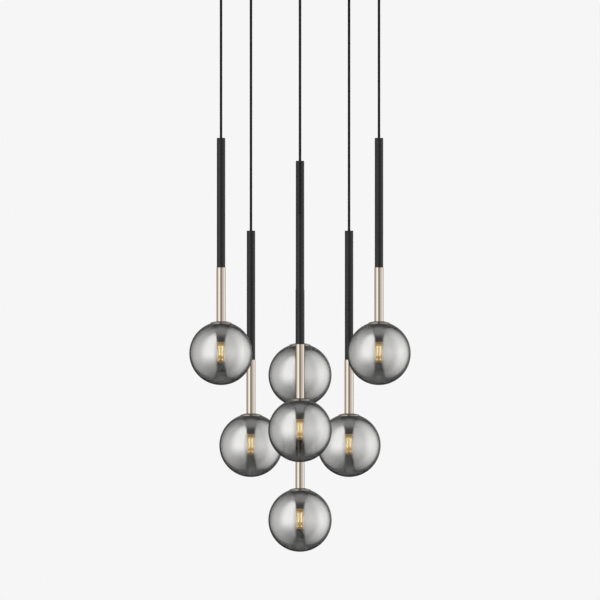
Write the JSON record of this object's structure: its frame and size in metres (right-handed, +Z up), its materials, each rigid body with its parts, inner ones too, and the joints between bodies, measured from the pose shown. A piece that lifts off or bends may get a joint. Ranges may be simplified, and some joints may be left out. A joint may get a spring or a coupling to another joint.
{
  "type": "cluster pendant light",
  "caption": "Cluster pendant light: smoked glass globes on slim black and gold stems, hung at staggered heights by cords from one round ceiling canopy.",
  "frame": {"origin": "on the ceiling plane, at the centre of the top face of the mounting bracket, on the axis of the canopy", "axes": "+Z up to the ceiling, the pendants hang towards -Z; -Y faces the viewer of the picture, +X is to the viewer's right"},
  "size_m": [0.4188, 0.436, 1.0996],
  "materials": {
    "powder_black": "satin black powder coat on steel",
    "polished_gold": "polished, pale rose gold plate",
    "textile_black": "braided black textile round a two-core cable",
    "holder_black": "matte black phenolic",
    "ring_black": "matte black, threaded inside",
    "smoked_glass": "blown glass with a smoked half-mirror coat",
    "amber_capsule": "clear amber capsule round lit diodes",
    "zinc_steel": "zinc-plated pressed steel",
    "screw_steel": "blackened steel",
    "grip_black": "matte black moulded nylon",
    "nut_brass": "plain turned brass",
    "block_white": "natural nylon"
  },
  "bodies": {
    "ceiling_plate": {"canopy": "powder_black", "mounting_bracket": "zinc_steel", "canopy_screws": "screw_steel", "cord_grips": "grip_black", "grip_nuts": "nut_brass", "cord_ends": "textile_black", "terminal_block": "block_white", "earth_terminal": "nut_brass"},
    "pendant_outer_left": {"cord_outer_left": "textile_black", "upper_tube_outer_left": "powder_black", "gold_tube_outer_left": "polished_gold", "lamp_holder_outer_left": "holder_black"},
    "shade_outer_left": {"globe_outer_left": "smoked_glass", "neck_ring_outer_left": "ring_black"},
    "capsule_outer_left": {"lamp_outer_left": "amber_capsule"},
    "pendant_outer_right": {"cord_outer_right": "textile_black", "upper_tube_outer_right": "powder_black", "gold_tube_outer_right": "polished_gold", "lamp_holder_outer_right": "holder_black"},
    "shade_outer_right": {"globe_outer_right": "smoked_glass", "neck_ring_outer_right": "ring_black"},
    "capsule_outer_right": {"lamp_outer_right": "amber_capsule"},
    "pendant_low_left": {"cord_low_left": "textile_black", "upper_tube_low_left": "powder_black", "gold_tube_low_left": "polished_gold", "lamp_holder_low_left": "holder_black"},
    "shade_low_left": {"globe_low_left": "smoked_glass", "neck_ring_low_left": "ring_black"},
    "capsule_low_left": {"lamp_low_left": "amber_capsule"},
    "pendant_low_right": {"cord_low_right": "textile_black", "upper_tube_low_right": "powder_black", "gold_tube_low_right": "polished_gold", "lamp_holder_low_right": "holder_black"},
    "shade_low_right": {"globe_low_right": "smoked_glass", "neck_ring_low_right": "ring_black"},
    "capsule_low_right": {"lamp_low_right": "amber_capsule"},
    "pendant_back": {"cord_back": "textile_black", "upper_tube_back": "powder_black", "gold_tube_back": "polished_gold", "lamp_holder_back": "holder_black"},
    "shade_back": {"globe_back": "smoked_glass", "neck_ring_back": "ring_black"},
    "capsule_back": {"lamp_back": "amber_capsule"},
    "pendant_front": {"cord_front": "textile_black", "upper_tube_front": "powder_black", "gold_tube_front": "polished_gold", "lamp_holder_front": "holder_black"},
    "shade_front": {"globe_front": "smoked_glass", "neck_ring_front": "ring_black"},
    "capsule_front": {"lamp_front": "amber_capsule"},
    "pendant_bottom": {"cord_bottom": "textile_black", "upper_tube_bottom": "powder_black", "gold_tube_bottom": "polished_gold", "lamp_holder_bottom": "holder_black"},
    "shade_bottom": {"globe_bottom": "smoked_glass", "neck_ring_bottom": "ring_black"},
    "capsule_bottom": {"lamp_bottom": "amber_capsule"}
  },
  "joints": [
    {"name": "outer_left_swing", "type": "hinge", "parent": "ceiling_plate", "child": "pendant_outer_left", "pos_m": [-0.14939, -0.05144, -0.035], "axis": [-0.3256, 0.9455, 0], "range_deg": [-4, 12]},
    {"name": "outer_left_globe_drop", "type": "slide", "parent": "pendant_outer_left", "child": "shade_outer_left", "axis": [0, 0, -1], "range_m": [0, 0.09]},
    {"name": "outer_left_lamp_pull", "type": "slide", "parent": "pendant_outer_left", "child": "capsule_outer_left", "axis": [0, 0, -1], "range_m": [0, 0.015]},
    {"name": "outer_right_swing", "type": "hinge", "parent": "ceiling_plate", "child": "pendant_outer_right", "pos_m": [0.14939, -0.05144, -0.035], "axis": [-0.3256, -0.9455, 0], "range_deg": [-4, 12]},
    {"name": "outer_right_globe_drop", "type": "slide", "parent": "pendant_outer_right", "child": "shade_outer_right", "axis": [0, 0, -1], "range_m": [0, 0.09]},
    {"name": "outer_right_lamp_pull", "type": "slide", "parent": "pendant_outer_right", "child": "capsule_outer_right", "axis": [0, 0, -1], "range_m": [0, 0.015]},
    {"name": "low_left_swing", "type": "hinge", "parent": "ceiling_plate", "child": "pendant_low_left", "pos_m": [-0.09305, 0.07891, -0.035], "axis": [0.6468, 0.7627, 0], "range_deg": [-1.5, 12]},
    {"name": "low_left_globe_drop", "type": "slide", "parent": "pendant_low_left", "child": "shade_low_left", "axis": [0, 0, -1], "range_m": [0, 0.09]},
    {"name": "low_left_lamp_pull", "type": "slide", "parent": "pendant_low_left", "child": "capsule_low_left", "axis": [0, 0, -1], "range_m": [0, 0.015]},
    {"name": "low_right_swing", "type": "hinge", "parent": "ceiling_plate", "child": "pendant_low_right", "pos_m": [0.09305, 0.07891, -0.035], "axis": [0.6468, -0.7627, 0], "range_deg": [-1.5, 12]},
    {"name": "low_right_globe_drop", "type": "slide", "parent": "pendant_low_right", "child": "shade_low_right", "axis": [0, 0, -1], "range_m": [0, 0.09]},
    {"name": "low_right_lamp_pull", "type": "slide", "parent": "pendant_low_right", "child": "capsule_low_right", "axis": [0, 0, -1], "range_m": [0, 0.015]},
    {"name": "back_swing", "type": "hinge", "parent": "ceiling_plate", "child": "pendant_back", "pos_m": [0, 0.158, -0.035], "axis": [1, 0, 0], "range_deg": [-4, 12]},
    {"name": "back_globe_drop", "type": "slide", "parent": "pendant_back", "child": "shade_back", "axis": [0, 0, -1], "range_m": [0, 0.09]},
    {"name": "back_lamp_pull", "type": "slide", "parent": "pendant_back", "child": "capsule_back", "axis": [0, 0, -1], "range_m": [0, 0.015]},
    {"name": "front_swing", "type": "hinge", "parent": "ceiling_plate", "child": "pendant_front", "pos_m": [0, -0.158, -0.035], "axis": [-1, 0, 0], "range_deg": [-4, 12]},
    {"name": "front_globe_drop", "type": "slide", "parent": "pendant_front", "child": "shade_front", "axis": [0, 0, -1], "range_m": [0, 0.09]},
    {"name": "front_lamp_pull", "type": "slide", "parent": "pendant_front", "child": "capsule_front", "axis": [0, 0, -1], "range_m": [0, 0.015]},
    {"name": "bottom_swing", "type": "hinge", "parent": "ceiling_plate", "child": "pendant_bottom", "pos_m": [0, 0, -0.035], "axis": [0, -1, 0], "range_deg": [-2.5, 2.5]},
    {"name": "bottom_globe_drop", "type": "slide", "parent": "pendant_bottom", "child": "shade_bottom", "axis": [0, 0, -1], "range_m": [0, 0.09]},
    {"name": "bottom_lamp_pull", "type": "slide", "parent": "pendant_bottom", "child": "capsule_bottom", "axis": [0, 0, -1], "range_m": [0, 0.015]}
  ]
}
